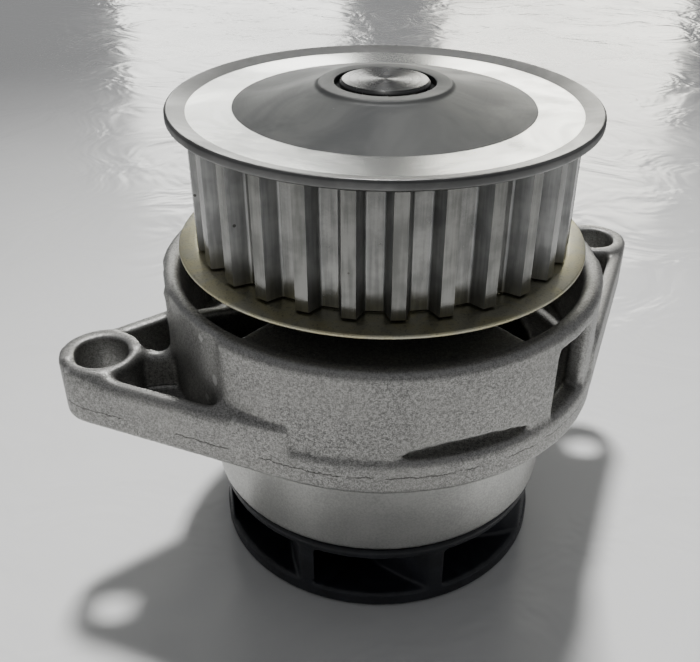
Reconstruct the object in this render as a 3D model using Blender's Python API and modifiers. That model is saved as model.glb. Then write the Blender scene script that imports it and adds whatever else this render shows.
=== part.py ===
"""Automotive coolant pump with a toothed-belt pulley.

The pump axis is world Z and the origin is the centre of the shaft's impeller end, so the
pump stands on its impeller with the pulley on top.  Every size below is in millimetres and
is multiplied by MM where a mesh is made.
"""
import math

import bmesh
import bpy
from mathutils import Matrix

MM = 0.001                       # one millimetre in Blender's metres
MERGE_DISTANCE = 0.00001         # merge threshold of every Screw modifier, in metres

# ---- clearances -------------------------------------------------------------------------
SEAT_GAP = 0.3                   # between two pieces that are pressed or laid together
RUN_GAP = 0.3                    # between two pieces that move past each other
FRONT = -90.0                    # the pump's front is towards -Y
EMBED = 0.5                      # how far a joined shape reaches into its neighbour
CUT_PAST = 2.0                   # how far a cutter runs past the face it opens

# ---- shaft and impeller -------------------------------------------------------------------
SHAFT_R = 7.96
SHAFT_CHAMFER = 0.4
SHAFT_PROUD = 0.4                # shaft end above the pulley's boss
IMPELLER_R = 34.0
IMPELLER_TOP = 15.2
BACK_SHROUD = 2.2
FRONT_SHROUD = 3.4
EYE_R = 20.0
BLADES = 8
BLADE_THICKNESS = 2.0
BLADE_SWEEP = 44.0               # angle that a blade turns through from rim to hub
BLADE_TIP_ANGLE = -68.7
HUB_LIFT = 3.0                   # hub's lower end above the impeller's lower face
HUB_FILLET = 1.0
SHROUD_CHAMFER = 0.4
EYE_CHAMFER = 0.6
BLADE_TIP_INSET = 0.15
BLADE_CURVE = 1.15               # power in the law of the blade's angle
BLADE_SLOPE_FLOOR = 0.25
BLADE_ROWS = 5                   # straight pieces along a blade
HUB_WALL = 2.6                   # plastic round the metal insert
INSERT_WALL = 3.14
INSERT_COLLAR_STEP = 1.0
INSERT_COLLAR = 3.0
INSERT_SINK = 0.4
IMPELLER_GAP = 0.8               # between the impeller and the housing

# ---- shaft seal ---------------------------------------------------------------------------
SEAL_BORE_DEPTH = 15.8
SEAL_FLANGE_DEPTH = 1.4
SEAL_FLANGE_WIDTH = 2.4
CUP_WALL = 0.8
CUP_HOLE_GAP = 1.44              # between the shaft and the cup's hole
CARBON_GAP = 2.04                # between the shaft and the carbon ring
CARBON_WIDTH = 3.4
CARBON_NOSE = 0.8
CARBON_NOSE_WIDTH = 1.6
CARBON_NOSE_STEP = 0.6
CARBON_HEIGHT = 3.0
BELLOWS_GAP = 1.64
BELLOWS_WIDTH = 3.0
BELLOWS_WALL = 0.9
BELLOWS_FOLDS = 3
SPRING_WIRE_R = 0.6
SPRING_TURNS = 3.5
SPRING_STEP = 1.6                # spring's mean radius past the carbon ring
CARRIER_STEP = 1.2
CARRIER_THICKNESS = 0.8
SEAL_SIDE_GAP = 0.9              # between the spring carrier and the cup
SEAT_WIDTH = 4.8
SEAT_THICKNESS = 2.2
SEAT_COLLAR_WALL = 1.24
SEAT_COLLAR_FLOOR = 1.0

# ---- shaft bearing ------------------------------------------------------------------------
GALLERY_GAP = 3.04               # between the shaft and the weep space's wall
GALLERY_HEIGHT = 5.4             # weep space between shaft seal and bearing
WEEP_R = 2.0
BEARING_WALL = 3.0
BEARING_LENGTH = 38.9
BEARING_ANNULUS = 4.04           # from the shaft to the outer ring's inner wall
RING_CHAMFER = 0.6
BALL_R = 2.78
BALL_COUNT = 8
BALL_FROM_TOP = 9.5
ROLLER_R = 2.0
ROLLER_COUNT = 10
ROLLER_LENGTH = 11.0
ROLLER_FROM_BOTTOM = 10.5
CAGE_GAP = 0.8                   # from the cages to the shaft and to the outer ring
CAGE_RIM = 1.5                   # cage material past the balls or rollers
END_SEAL_THICKNESS = 1.6
END_SEAL_INSET = 0.5
END_SEAL_LIP = 0.5

# ---- housing casting ----------------------------------------------------------------------
SPIGOT_R = 34.8
SPIGOT_DEPTH = 22.0              # from the mounting face to the spigot's end
SPIGOT_WALL = 4.3
SPIGOT_FLOOR = 8.0               # metal below the well
BOWL_R = 42.3
BOWL_WALL = 3.6
BOWL_HEIGHT = 24.0               # from the mounting face to the bowl's rim
BOWL_ROUND = 0.9                 # rounding of the bowl's rim
CAST_CHAMFER = 0.8
FLANGE_STEP = 0.7                # flange past the bowl
FLANGE_THICKNESS = 6.7
SHELF_HEIGHT = 5.0               # where the bowl narrows into the spigot, above the flange
TOWER_WALL = 4.0
TOWER_FOOT_WALL = 3.8            # tower past the seal's bore
TOWER_RISE = 0.5                 # tower past the bearing's top
RIB_THICKNESS = 3.0
RIB_DROP = 7.0                   # ribs' tops under the bowl's rim
RIB_ANGLES = (45.0, 135.0, 200.0)
LEDGE_FROM = -128.0              # solid front of the well, from this angle
LEDGE_TO = -50.0
LEDGE_DROP = 1.5                 # its top, under the bowl's rim

# ---- fixing ears: (hole's distance outside the bowl, its angle, which side is tangent) -------
EARS = {"left": (12.4, 199.3, 1.0), "right": (17.7, 34.7, -1.0)}
EAR_R = 7.7
EAR_HOLE_R = 4.85
EAR_BOSS_HEIGHT = 11.7
EAR_RIB_DROP = 1.0               # ribs' tops under the boss
EAR_SPREAD = 61.0                # angle between an ear's two side walls
EAR_WALL = 3.0
EAR_WEB = 2.4
EAR_FLOOR = 3.0                  # floor under the ear's two pockets

# ---- window and slot in the housing's front wall ----------------------------------------------
WINDOW_FROM = -44.0
WINDOW_TO = -28.0
WINDOW_TOP_DROP = 3.4            # under the bowl's rim
SLOT_FROM = -88.0
SLOT_TO = -49.0
SLOT_RISE = 2.8
SLOT_DEPTH = 3.4

# ---- pulley -----------------------------------------------------------------------------
TEETH = 28
TOOTH_PHASE = 4.6                # a crown stands this many degrees from the front
TOOTH_TIP_R = 34.96
TOOTH_DEPTH = 3.1
TOOTH_CROWN = 2.2                # width of a crown along the belt's travel
ROOT_LAND = 3.05                  # width of the floor between two teeth
TEETH_LIFT = 5.2                 # teeth's lower end above the bowl's rim
PULLEY_HEIGHT = 24.8             # from there to the rim's top
PULLEY_WALL = 3.9                # under the tooth roots
RIM_WIDTH = 3.29                 # rim past the tooth tips
RIM_EDGE = 1.7                   # height of the rim's upright edge
RIM_BEVEL = 0.35
RIM_CONE = 1.4                   # height of the cone under the rim
FACE_STEP = 0.84                 # the flat ring lies this far under the rim
FACE_BEVEL = 3.55                # width of the slope from the rim to the flat ring
FACE_RING_WIDTH = 7.9
BOSS_RISE = 2.95                 # boss above the rim
BOSS_WIDTH = 2.62
BOSS_DROP = 0.55                 # how far the dome starts below the boss
BOSS_FILLET = 1.4
BORE_MOUTH_GAP = 1.02            # from the shaft to the widened mouth of the bore
BORE_MOUTH_DEPTH = 1.2
HUB_WIDTH = 4.54
HUB_CLEARANCE = 2.6              # between the hub and the bearing
WEB_THICKNESS = 3.9

# ---- lower flange disc, pressed on the pulley --------------------------------------------
DISC_WIDTH = 3.34                # disc past the tooth tips
DISC_THICKNESS = 0.8
DISC_FLAT = 0.34                 # its flat part past the tooth tips
DISC_DROP = 0.4
DISC_SPIGOT_DEPTH = 2.2
DISC_SEAT_DEPTH = 0.6            # the disc's register is this far inside the tooth roots

# ---- facets in a full turn ------------------------------------------------------------------
HOUSING_STEPS = 60
PULLEY_STEPS = 56
DISC_STEPS = 56
RING_STEPS = 32
SHAFT_STEPS = 32
SEAL_STEPS = 24
IMPELLER_STEPS = 40
BOSS_SIDES = 48
HOLE_SIDES = 32
WEEP_SIDES = 16
ROLLER_SIDES = 12
BALL_ROWS = 6
GROOVE_POINTS = 5
SPRING_SIDES = 12
ARC_STEP = 9.0                   # degrees between the points of a drawn arc
ROUND_OUT = 0.3                  # middle point of a rounded corner, as a share of its radius
ROUND_DOWN = 0.25

# ---- radii worked out from the sizes above ----------------------------------------------------
BORE_ON_SHAFT_R = SHAFT_R + SEAT_GAP
INSERT_R = BORE_ON_SHAFT_R + INSERT_WALL
INSERT_COLLAR_R = INSERT_R + INSERT_COLLAR_STEP
IMPELLER_HUB_R = INSERT_R + HUB_WALL
BLADE_INNER_R = IMPELLER_HUB_R + 3 * EMBED
SEAT_INNER_R = BORE_ON_SHAFT_R + SEAT_COLLAR_WALL + SEAT_GAP
SEAT_R = SEAT_INNER_R + SEAT_WIDTH
CUP_HOLE_R = SHAFT_R + CUP_HOLE_GAP
CARBON_INNER_R = SHAFT_R + CARBON_GAP
CARBON_R = CARBON_INNER_R + CARBON_WIDTH
CARBON_NOSE_INNER_R = CARBON_INNER_R + CARBON_NOSE_STEP
CARBON_NOSE_R = CARBON_NOSE_INNER_R + CARBON_NOSE_WIDTH
BELLOWS_INNER_R = SHAFT_R + BELLOWS_GAP
BELLOWS_R = BELLOWS_INNER_R + BELLOWS_WIDTH
SPRING_R = CARBON_R + SPRING_STEP
CARRIER_R = SPRING_R + CARRIER_STEP
SEAL_BORE_R = CARRIER_R + SEAL_SIDE_GAP + CUP_WALL + SEAT_GAP
SEAL_FLANGE_R = SEAL_BORE_R + SEAL_FLANGE_WIDTH
GALLERY_R = SHAFT_R + GALLERY_GAP
BEARING_LAND_R = SHAFT_R + BEARING_ANNULUS
BEARING_R = BEARING_LAND_R + BEARING_WALL
BALL_PITCH_R = SHAFT_R + BEARING_ANNULUS / 2
ROLLER_PITCH_R = SHAFT_R + RUN_GAP + ROLLER_R
CAGE_INNER_R = SHAFT_R + CAGE_GAP
CAGE_OUTER_R = BEARING_LAND_R - CAGE_GAP
TOWER_R = BEARING_R + TOWER_WALL
TOWER_FOOT_R = SEAL_BORE_R + TOWER_FOOT_WALL
FLANGE_R = BOWL_R + FLANGE_STEP
BOWL_INNER_R = BOWL_R - BOWL_WALL
WALL_MID_R = BOWL_R - BOWL_WALL / 2
TOOTH_ROOT_R = TOOTH_TIP_R - TOOTH_DEPTH
DISC_SEAT_R = TOOTH_ROOT_R - DISC_SEAT_DEPTH
DISC_R = TOOTH_TIP_R + DISC_WIDTH
DISC_FLAT_R = TOOTH_TIP_R + DISC_FLAT
PULLEY_INNER_R = TOOTH_ROOT_R - PULLEY_WALL
RIM_R = TOOTH_TIP_R + RIM_WIDTH
FACE_RING_OUTER_R = RIM_R - FACE_BEVEL
FACE_RING_INNER_R = FACE_RING_OUTER_R - FACE_RING_WIDTH
BORE_MOUTH_R = SHAFT_R + BORE_MOUTH_GAP
BOSS_R = BORE_MOUTH_R + BOSS_WIDTH
HUB_R = SHAFT_R + HUB_WIDTH

# ---- heights worked out from the impeller upwards ----------------------------------------------
HUB_TOP_Z = IMPELLER_TOP - SEAT_COLLAR_FLOOR
SEAT_BOTTOM = IMPELLER_TOP + SEAT_GAP
SEAT_TOP = SEAT_BOTTOM + SEAT_THICKNESS
CARBON_BOTTOM = SEAT_TOP + SEAT_GAP
CARBON_TOP = CARBON_BOTTOM + CARBON_NOSE + CARBON_HEIGHT
SPIGOT_BOTTOM = IMPELLER_TOP + IMPELLER_GAP
SEAL_BORE_TOP = SPIGOT_BOTTOM + SEAL_BORE_DEPTH
CUP_TOP = SEAL_BORE_TOP - SEAT_GAP
CUP_CEILING = CUP_TOP - CUP_WALL
BEARING_SHOULDER = SEAL_BORE_TOP + GALLERY_HEIGHT
BEARING_BOTTOM = BEARING_SHOULDER + SEAT_GAP
BEARING_TOP = BEARING_BOTTOM + BEARING_LENGTH
BALL_Z = BEARING_TOP - BALL_FROM_TOP
ROLLER_Z = BEARING_BOTTOM + ROLLER_FROM_BOTTOM
TOWER_TOP = BEARING_TOP + TOWER_RISE
WELL_FLOOR = SPIGOT_BOTTOM + SPIGOT_FLOOR
FLANGE_BOTTOM = SPIGOT_BOTTOM + SPIGOT_DEPTH
FLANGE_TOP = FLANGE_BOTTOM + FLANGE_THICKNESS
SHELF_Z = FLANGE_BOTTOM + SHELF_HEIGHT
BOWL_TOP = FLANGE_BOTTOM + BOWL_HEIGHT
RIB_TOP = BOWL_TOP - RIB_DROP
EAR_BOSS_TOP = FLANGE_BOTTOM + EAR_BOSS_HEIGHT
EAR_RIB_TOP = EAR_BOSS_TOP - EAR_RIB_DROP
TEETH_BOTTOM = BOWL_TOP + TEETH_LIFT
RIM_TOP = TEETH_BOTTOM + PULLEY_HEIGHT
FACE_RING_Z = RIM_TOP - FACE_STEP
BOSS_TOP = RIM_TOP + BOSS_RISE
SHAFT_TOP = BOSS_TOP + SHAFT_PROUD
HUB_BOTTOM = BEARING_TOP + HUB_CLEARANCE


# ---- scene and materials ----------------------------------------------------------------------
def clear_scene():
    for item in list(bpy.data.objects):
        bpy.data.objects.remove(item, do_unlink=True)


def new_collection(name):
    collection = bpy.data.collections.new(name)
    bpy.context.scene.collection.children.link(collection)
    return collection


def make_material(name, colour, roughness, metallic):
    material = bpy.data.materials.new(name)
    material.use_nodes = True
    shader = material.node_tree.nodes["Principled BSDF"]
    shader.inputs["Base Color"].default_value = (*colour, 1.0)
    shader.inputs["Roughness"].default_value = roughness
    shader.inputs["Metallic"].default_value = metallic
    material.diffuse_color = (*colour, 1.0)
    return material


clear_scene()
PARTS = new_collection("water_pump")
CUTTERS = new_collection("cutters")


# ---- small geometry helpers --------------------------------------------------------------------
def polar(radius, degrees):
    angle = math.radians(degrees)
    return (radius * math.cos(angle), radius * math.sin(angle))


def arc(centre, radius, start, end):
    """Points on a circle from one angle to another, both ends included."""
    steps = max(2, round(abs(end - start) / ARC_STEP))
    points = []
    for i in range(steps + 1):
        x, y = polar(radius, start + (end - start) * i / steps)
        points.append((centre[0] + x, centre[1] + y))
    return points


def line_meets_circle(point, degrees, radius, ahead):
    """Where a line through point meets a circle about the axis, the nearer hit or the further."""
    ux, uy = polar(1.0, degrees)
    along = point[0] * ux + point[1] * uy
    inside = along * along - (point[0] ** 2 + point[1] ** 2 - radius ** 2)
    travel = -along + (1.0 if ahead else -1.0) * math.sqrt(inside)
    return (point[0] + travel * ux, point[1] + travel * uy)


def angle_of(point, about=(0.0, 0.0)):
    return math.degrees(math.atan2(point[1] - about[1], point[0] - about[0]))


def near_angle(angle, reference):
    """The same angle, written within half a turn of the reference."""
    return reference + (angle - reference + 180.0) % 360.0 - 180.0


# ---- mesh helpers ------------------------------------------------------------------------------
def add_object(name, mesh, collection, material=None):
    item = bpy.data.objects.new(name, mesh)
    collection.objects.link(item)
    if material is not None:
        mesh.materials.append(material)
    if collection is CUTTERS:
        item.hide_render = True
        item.display_type = "WIRE"
    return item


def smooth(mesh, degrees=35.0):
    mesh.shade_smooth()
    mesh.set_sharp_from_angle(angle=math.radians(degrees))


def turned(name, profile, steps, material=None, collection=PARTS, closed=True):
    """Turn a profile of (radius, height) points about the pump axis.

    The points run outwards along the top, down the outside and back along the bottom.
    """
    mesh = bpy.data.meshes.new(name)
    points = [(r * MM, 0.0, z * MM) for r, z in profile]
    edges = [(i, i + 1) for i in range(len(points) - 1)]
    if closed:
        edges.append((len(points) - 1, 0))
    mesh.from_pydata(points, edges, [])
    item = add_object(name, mesh, collection, material)
    screw = item.modifiers.new("turn", "SCREW")
    screw.axis = "Z"
    screw.angle = math.tau
    screw.steps = steps
    screw.render_steps = steps
    screw.use_merge_vertices = True
    screw.merge_threshold = MERGE_DISTANCE
    screw.use_smooth_shade = True
    return item


def prism(name, outline, bottom, top, collection=CUTTERS, material=None):
    """A flat outline, listed anticlockwise, raised from one height to another."""
    return prisms(name, [outline], bottom, top, collection, material)


def prisms(name, outlines, bottom, top, collection=CUTTERS, material=None):
    build = bmesh.new()
    for outline in outlines:
        ring = [build.verts.new((x * MM, y * MM, bottom * MM)) for x, y in outline]
        face = build.faces.new(ring)
        face.normal_update()
        if face.normal.z > 0.0:
            face.normal_flip()
        raised = bmesh.ops.extrude_face_region(build, geom=[face], use_keep_orig=True)
        lifted = [v for v in raised["geom"] if isinstance(v, bmesh.types.BMVert)]
        bmesh.ops.translate(build, verts=lifted, vec=(0.0, 0.0, (top - bottom) * MM))
    bmesh.ops.recalc_face_normals(build, faces=build.faces)
    mesh = bpy.data.meshes.new(name)
    build.to_mesh(mesh)
    build.free()
    return add_object(name, mesh, collection, material)


def cylinders(name, radius, length, places, sides, collection=CUTTERS):
    """Closed cylinders along local Z, one at each placing matrix, as one mesh."""
    build = bmesh.new()
    for place in places:
        bmesh.ops.create_cone(build, cap_ends=True, cap_tris=False, segments=sides,
                              radius1=radius * MM, radius2=radius * MM, depth=length * MM,
                              matrix=place)
    mesh = bpy.data.meshes.new(name)
    build.to_mesh(mesh)
    build.free()
    return add_object(name, mesh, collection)


def at(x, y, z):
    return Matrix.Translation((x * MM, y * MM, z * MM))


def combine(item, other, operation):
    change = item.modifiers.new(operation.lower() + "_" + other.name, "BOOLEAN")
    change.object = other
    change.operation = operation
    change.solver = "EXACT"


def empty_on_axis(name, height):
    joint = bpy.data.objects.new(name, None)
    joint.location = (0.0, 0.0, height * MM)
    PARTS.objects.link(joint)
    return joint


def carry(joint, items):
    """Parent items, which are drawn in world positions, to a joint's empty."""
    for item in items:
        item.parent = joint
        item.matrix_parent_inverse = Matrix.Translation(-joint.location)


# ---- materials ---------------------------------------------------------------------------------
CAST = make_material("cast_aluminium", (0.46, 0.46, 0.44), 0.55, 0.9)
STEEL = make_material("turned_steel", (0.50, 0.50, 0.49), 0.32, 1.0)
ZINC = make_material("yellow_zinc", (0.50, 0.48, 0.36), 0.38, 1.0)
GROUND = make_material("ground_steel", (0.62, 0.62, 0.62), 0.2, 1.0)
BEARING_STEEL = make_material("bearing_steel", (0.55, 0.56, 0.58), 0.22, 1.0)
RUBBER = make_material("black_rubber", (0.02, 0.02, 0.02), 0.7, 0.0)
NYLON = make_material("cage_nylon", (0.62, 0.55, 0.38), 0.5, 0.0)
CARBON = make_material("seal_carbon", (0.04, 0.04, 0.045), 0.4, 0.0)
CERAMIC = make_material("seat_ceramic", (0.86, 0.84, 0.78), 0.25, 0.0)
STAINLESS = make_material("stainless", (0.6, 0.6, 0.6), 0.3, 1.0)
BRASS = make_material("brass", (0.70, 0.52, 0.25), 0.35, 1.0)
PLASTIC = make_material("impeller_plastic", (0.015, 0.016, 0.02), 0.45, 0.0)


# ---- housing casting ------------------------------------------------------------------------------
def housing_profile():
    bore = BEARING_R + SEAT_GAP
    spigot_inner = SPIGOT_R - SPIGOT_WALL
    turn = BOWL_ROUND * ROUND_OUT
    return [
        (bore, TOWER_TOP), (TOWER_R - CAST_CHAMFER, TOWER_TOP), (TOWER_R, TOWER_TOP - CAST_CHAMFER),
        (TOWER_FOOT_R, WELL_FLOOR), (spigot_inner, WELL_FLOOR), (spigot_inner, SHELF_Z),
        (BOWL_INNER_R, SHELF_Z + EMBED),
        (BOWL_INNER_R, BOWL_TOP - BOWL_ROUND), (BOWL_INNER_R + BOWL_ROUND, BOWL_TOP),
        (BOWL_R - BOWL_ROUND, BOWL_TOP), (BOWL_R - turn, BOWL_TOP - turn),
        (BOWL_R, BOWL_TOP - BOWL_ROUND), (BOWL_R, FLANGE_TOP),
        (FLANGE_R, FLANGE_TOP - (FLANGE_R - BOWL_R)), (FLANGE_R, FLANGE_BOTTOM),
        (SPIGOT_R, FLANGE_BOTTOM), (SPIGOT_R, SPIGOT_BOTTOM + CAST_CHAMFER),
        (SPIGOT_R - CAST_CHAMFER, SPIGOT_BOTTOM),
        (SEAL_FLANGE_R + SEAT_GAP, SPIGOT_BOTTOM),
        (SEAL_FLANGE_R + SEAT_GAP, SPIGOT_BOTTOM + SEAL_FLANGE_DEPTH),
        (SEAL_BORE_R, SPIGOT_BOTTOM + SEAL_FLANGE_DEPTH), (SEAL_BORE_R, SEAL_BORE_TOP),
        (GALLERY_R, SEAL_BORE_TOP), (GALLERY_R, BEARING_SHOULDER), (bore, BEARING_SHOULDER),
    ]


def ear_frame(reach, angle, side):
    """Centre of an ear, and the directions of its tangent wall, its other wall and its web."""
    distance = BOWL_R + reach
    centre = polar(distance, angle)
    tilt = math.degrees(math.acos((FLANGE_R - EAR_R) / distance))
    tangent_normal = angle + side * tilt
    tangent_way = tangent_normal + side * 90.0
    other_way = tangent_way + side * EAR_SPREAD
    web_way = tangent_way + side * EAR_SPREAD / 2
    return centre, tangent_normal, tangent_way, other_way, web_way


def ear_outline(reach, angle, side):
    centre, tangent_normal, _, other_way, web_way = ear_frame(reach, angle, side)
    other_normal = near_angle(other_way + side * 90.0, web_way + 180.0)
    start = near_angle(tangent_normal, web_way + 180.0)
    points = arc(centre, EAR_R, start, other_normal)
    wall_hit = line_meets_circle(points[-1], other_way, WALL_MID_R, ahead=False)
    reach_angle = near_angle(angle_of(wall_hit), tangent_normal)
    points += arc((0.0, 0.0), WALL_MID_R, reach_angle, tangent_normal)
    points.append(polar(FLANGE_R, tangent_normal))
    return points


def pocket_outline(reach, angle, side, wall_is_tangent):
    """One of the two hollows of an ear, between a side wall and the web."""
    centre, _, tangent_way, other_way, web_way = ear_frame(reach, angle, side)
    way = tangent_way if wall_is_tangent else other_way
    turn = -side if wall_is_tangent else side
    inset = EAR_R - EAR_WALL
    nx, ny = polar(1.0, way + turn * 90.0)
    wall_start = (centre[0] + nx * inset, centre[1] + ny * inset)
    wx, wy = polar(1.0, web_way + turn * 90.0)
    web_start = (centre[0] + wx * EAR_WEB / 2, centre[1] + wy * EAR_WEB / 2)
    wall_r = BOWL_R - EMBED
    wall_far = line_meets_circle(wall_start, way, wall_r, ahead=False)
    web_far = line_meets_circle(web_start, web_way, wall_r, ahead=False)
    boss = EAR_R - EMBED
    wall_near = math.sqrt(boss ** 2 - inset ** 2)
    web_near = math.sqrt(boss ** 2 - (EAR_WEB / 2) ** 2)
    vx, vy = polar(wall_near, way)
    ux, uy = polar(web_near, web_way)
    near_wall = (wall_start[0] + vx, wall_start[1] + vy)
    near_web = (web_start[0] + ux, web_start[1] + uy)
    first = angle_of(wall_far)
    points = [near_wall]
    points += arc((0.0, 0.0), wall_r, first, near_angle(angle_of(web_far), first))
    turn_from = angle_of(near_web, centre)
    turn_to = near_angle(angle_of(near_wall, centre), turn_from)
    points += arc(centre, boss, turn_from, turn_to)[:-1]
    return points


def window_outline():
    """Plan of the opening in the bowl's wall, from the well to outside."""
    inner = BOWL_INNER_R - CUT_PAST
    outer = FLANGE_R + CUT_PAST
    return [polar(inner, WINDOW_FROM), polar(outer, WINDOW_FROM),
            polar(outer, WINDOW_TO), polar(inner, WINDOW_TO)]


def slot_cutter():
    """A low arched slot over the flange: flat floor, arched roof, cut in from outside."""
    middle = (SLOT_FROM + SLOT_TO) / 2
    half = FLANGE_R * math.sin(math.radians((SLOT_TO - SLOT_FROM) / 2))
    bow = (half ** 2 + SLOT_RISE ** 2) / (2 * SLOT_RISE)
    swing = math.degrees(math.asin(half / bow))
    outline = arc((0.0, SLOT_RISE - bow), bow, 90.0 - swing, 90.0 + swing)
    length = FLANGE_R + CUT_PAST
    start = BOWL_R - SLOT_DEPTH
    cutter = prism("slot_cutter", outline, start, length)
    stand = Matrix(((0, 0, 1, 0), (1, 0, 0, 0), (0, 1, 0, 0), (0, 0, 0, 1)))
    turn = Matrix.Rotation(math.radians(middle), 4, "Z")
    cutter.matrix_world = at(0, 0, FLANGE_TOP) @ turn @ stand
    return cutter


def rib_outlines(outer_r):
    """Plans of the thin radial ribs between the tower and a wall."""
    outlines = []
    for angle in RIB_ANGLES:
        sx, sy = polar(RIB_THICKNESS / 2, angle + 90.0)
        ix, iy = polar(TOWER_R - EMBED, angle)
        ox, oy = polar(outer_r, angle)
        outlines.append([(ix - sx, iy - sy), (ox - sx, oy - sy),
                         (ox + sx, oy + sy), (ix + sx, iy + sy)])
    return outlines


def ledge_outline(outer_r):
    """Plan of the well's solid front."""
    outline = arc((0.0, 0.0), outer_r, LEDGE_FROM, LEDGE_TO)
    outline += arc((0.0, 0.0), TOWER_R - EMBED, LEDGE_TO, LEDGE_FROM)
    return outline


def fill_well(housing):
    """Ribs and solid front: as wide as the spigot low down, as wide as the bowl above."""
    spigot_mid_r = SPIGOT_R - SPIGOT_WALL / 2
    split = (FLANGE_BOTTOM + SHELF_Z) / 2
    ledge_top = BOWL_TOP - LEDGE_DROP
    storeys = (("low", spigot_mid_r, WELL_FLOOR - EMBED, split, split),
               ("high", WALL_MID_R, split - EMBED, RIB_TOP, ledge_top))
    for name, outer_r, bottom, rib_top, front_top in storeys:
        combine(housing, prisms("ribs_" + name, rib_outlines(outer_r), bottom, rib_top), "UNION")
        combine(housing, prism("front_" + name, ledge_outline(outer_r), bottom, front_top), "UNION")


def make_housing():
    housing = turned("housing", housing_profile(), HOUSING_STEPS, CAST)
    fill_well(housing)
    for side_name, ear in EARS.items():
        plate = prism("ear_plate_" + side_name, ear_outline(*ear), FLANGE_BOTTOM, EAR_RIB_TOP)
        combine(housing, plate, "UNION")
        centre = ear_frame(*ear)[0]
        height = EAR_BOSS_HEIGHT
        boss_place = at(*centre, FLANGE_BOTTOM + height / 2)
        boss = cylinders("ear_boss_" + side_name, EAR_R, height, [boss_place], BOSS_SIDES)
        combine(housing, boss, "UNION")
        pockets = [pocket_outline(*ear, True), pocket_outline(*ear, False)]
        hollow = prisms("ear_pockets_" + side_name, pockets, FLANGE_BOTTOM + EAR_FLOOR,
                        BOWL_TOP + CUT_PAST)
        combine(housing, hollow, "DIFFERENCE")
        hole = cylinders("ear_hole_" + side_name, EAR_HOLE_R, height + 2 * CUT_PAST, [boss_place],
                         HOLE_SIDES)
        combine(housing, hole, "DIFFERENCE")
    window = prism("window_cutter", window_outline(), FLANGE_TOP, BOWL_TOP - WINDOW_TOP_DROP)
    combine(housing, window, "DIFFERENCE")
    combine(housing, slot_cutter(), "DIFFERENCE")
    weep_z = (SEAL_BORE_TOP + BEARING_SHOULDER) / 2
    weep_length = TOWER_FOOT_R + CUT_PAST
    weep_place = at(weep_length / 2, 0.0, weep_z) @ Matrix.Rotation(math.pi / 2, 4, "Y")
    weep = cylinders("weep_cutter", WEEP_R, weep_length, [weep_place], WEEP_SIDES)
    combine(housing, weep, "DIFFERENCE")
    return housing


# ---- pulley ------------------------------------------------------------------------------------
def pulley_profile():
    under_rim = RIM_TOP - RIM_EDGE
    cone_foot = under_rim - RIM_CONE
    dome_high = BOSS_TOP - BOSS_DROP - BOSS_FILLET * ROUND_DOWN
    web_low = FACE_RING_Z - WEB_THICKNESS
    bottom = TEETH_BOTTOM - DISC_SPIGOT_DEPTH
    return [
        (BORE_ON_SHAFT_R, BOSS_TOP - BORE_MOUTH_DEPTH - (BORE_MOUTH_R - BORE_ON_SHAFT_R)),
        (BORE_MOUTH_R, BOSS_TOP - BORE_MOUTH_DEPTH), (BORE_MOUTH_R, BOSS_TOP),
        (BOSS_R, BOSS_TOP), (BOSS_R + BOSS_FILLET * ROUND_OUT, BOSS_TOP - BOSS_DROP),
        (BOSS_R + BOSS_FILLET, dome_high), (FACE_RING_INNER_R, FACE_RING_Z),
        (FACE_RING_OUTER_R, FACE_RING_Z), (RIM_R - RIM_BEVEL, RIM_TOP), (RIM_R, RIM_TOP - RIM_BEVEL),
        (RIM_R, under_rim), (TOOTH_TIP_R, cone_foot), (TOOTH_TIP_R, TEETH_BOTTOM),
        (DISC_SEAT_R, TEETH_BOTTOM), (DISC_SEAT_R, bottom), (PULLEY_INNER_R, bottom),
        (PULLEY_INNER_R, web_low), (HUB_R, dome_high - WEB_THICKNESS), (HUB_R, HUB_BOTTOM),
        (BORE_ON_SHAFT_R, HUB_BOTTOM),
    ]


def tooth_gaps():
    """Plans of the spaces between the teeth: wide floor, steep flanks."""
    pitch = 360.0 / TEETH
    past = CUT_PAST
    mouth = math.tau * TOOTH_TIP_R / TEETH - TOOTH_CROWN
    flare = (mouth - ROOT_LAND) / 2 * (TOOTH_DEPTH + past) / TOOTH_DEPTH
    outlines = []
    low = ROOT_LAND / 2
    high = low + flare
    corners = [(TOOTH_ROOT_R, -low), (TOOTH_TIP_R + past, -high),
               (TOOTH_TIP_R + past, high), (TOOTH_ROOT_R, low)]
    for i in range(TEETH):
        ux, uy = polar(1.0, FRONT + pitch * (i + 0.5) + TOOTH_PHASE)
        outlines.append([(ux * x - uy * y, uy * x + ux * y) for x, y in corners])
    return outlines


def make_pulley():
    pulley = turned("pulley", pulley_profile(), PULLEY_STEPS, STEEL)
    gap_top = RIM_TOP - RIM_EDGE - RIM_CONE
    gaps = prisms("tooth_gap_cutter", tooth_gaps(), TEETH_BOTTOM - EMBED, gap_top)
    combine(pulley, gaps, "DIFFERENCE")
    return pulley


def make_lower_disc():
    top = TEETH_BOTTOM - SEAT_GAP
    inner = DISC_SEAT_R + SEAT_GAP
    profile = [(inner, top), (DISC_FLAT_R, top), (DISC_R, top - DISC_DROP),
               (DISC_R, top - DISC_DROP - DISC_THICKNESS), (DISC_FLAT_R, top - DISC_THICKNESS),
               (inner, top - DISC_THICKNESS)]
    return turned("pulley_lower_flange", profile, DISC_STEPS, ZINC)


# ---- shaft and bearing ----------------------------------------------------------------------------
def groove_points(pitch_r, ball_z, radius, wall_r, outward):
    """A ball groove cut in a wall, as points down the wall."""
    reach = abs(pitch_r - wall_r)
    half = math.degrees(math.acos(reach / radius))
    points = []
    for i in range(GROOVE_POINTS):
        angle = half - 2 * half * i / (GROOVE_POINTS - 1)
        across, up = polar(radius, angle)
        points.append((pitch_r + (across if outward else -across), ball_z + up))
    return points


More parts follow.
